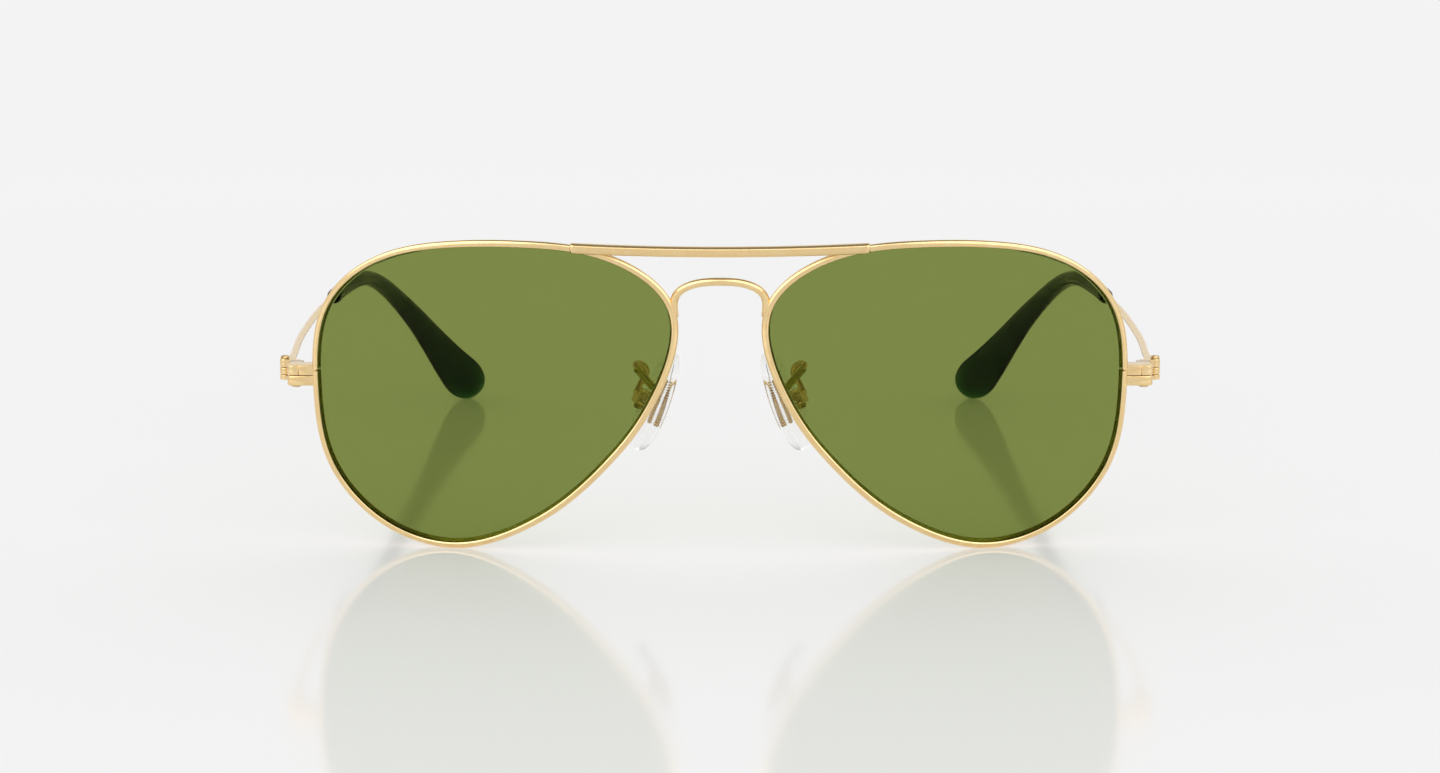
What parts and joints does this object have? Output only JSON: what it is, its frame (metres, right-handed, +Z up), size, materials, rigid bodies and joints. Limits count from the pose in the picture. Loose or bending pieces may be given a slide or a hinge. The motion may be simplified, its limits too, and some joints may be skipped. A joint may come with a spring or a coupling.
{
  "type": "aviator sunglasses",
  "caption": "Wire-framed sunglasses with teardrop green glass lenses, brow bar, arched bridge, rocking nose pads and folding temples with dark hooked tips.",
  "frame": {"origin": "middle of the bounding box, on the ground the sunglasses stand on", "axes": "+X to the wearer's left across the front, +Y from the lenses back along the open temples, +Z up"},
  "size_m": [0.1416, 0.1382, 0.0509],
  "materials": {
    "gold_metal": "gold-plated nickel alloy wire, satin polish",
    "lens_glass": "solid-tinted green glass, polished both sides",
    "tip_acetate": "dark bottle-green acetate, polished",
    "pad_silicone": "clear silicone",
    "insert_metal": "gold-plated, cross-knurled",
    "screw_metal": "gold-plated steel, slotted"
  },
  "bodies": {
    "front": {"rim_left": "gold_metal", "rim_right": "gold_metal", "brow_bar": "gold_metal", "bridge": "gold_metal", "closing_block_lower_left": "gold_metal", "closing_block_lower_right": "gold_metal", "closing_block_upper_left": "gold_metal", "closing_block_upper_right": "gold_metal", "hinge_bracket_left": "gold_metal", "hinge_bracket_right": "gold_metal", "pad_arm_left": "gold_metal", "pad_arm_right": "gold_metal", "pad_box_left": "gold_metal", "pad_box_right": "gold_metal", "lens_left": "lens_glass", "lens_right": "lens_glass", "closing_screw_left": "screw_metal", "closing_screw_right": "screw_metal", "hinge_screw_left": "screw_metal", "hinge_screw_right": "screw_metal", "pad_screw_left": "screw_metal", "pad_screw_right": "screw_metal"},
    "temple_left": {"temple_hinge_left": "gold_metal", "temple_wire_left": "gold_metal", "temple_tip_left": "tip_acetate"},
    "nose_pad_left": {"nose_pad_left": "pad_silicone", "pad_insert_left": "insert_metal"},
    "temple_right": {"temple_hinge_right": "gold_metal", "temple_wire_right": "gold_metal", "temple_tip_right": "tip_acetate"},
    "nose_pad_right": {"nose_pad_right": "pad_silicone", "pad_insert_right": "insert_metal"}
  },
  "joints": [
    {"name": "temple_fold_left", "type": "hinge", "parent": "front", "child": "temple_left", "pos_m": [0.0696, -0.0524, 0.02764], "axis": [0, 0, 1], "range_deg": [0, 79]},
    {"name": "temple_fold_right", "type": "hinge", "parent": "front", "child": "temple_right", "pos_m": [-0.0696, -0.0524, 0.02764], "axis": [0, 0, -1], "range_deg": [0, 73]},
    {"name": "pad_rock_left", "type": "hinge", "parent": "front", "child": "nose_pad_left", "pos_m": [0.01243, -0.05873, 0.02466], "axis": [-0.3668, 0.0902, 0.9259], "range_deg": [-7, 7]},
    {"name": "pad_rock_right", "type": "hinge", "parent": "front", "child": "nose_pad_right", "pos_m": [-0.01243, -0.05873, 0.02466], "axis": [0.3668, 0.0902, 0.9259], "range_deg": [-7, 7]}
  ]
}
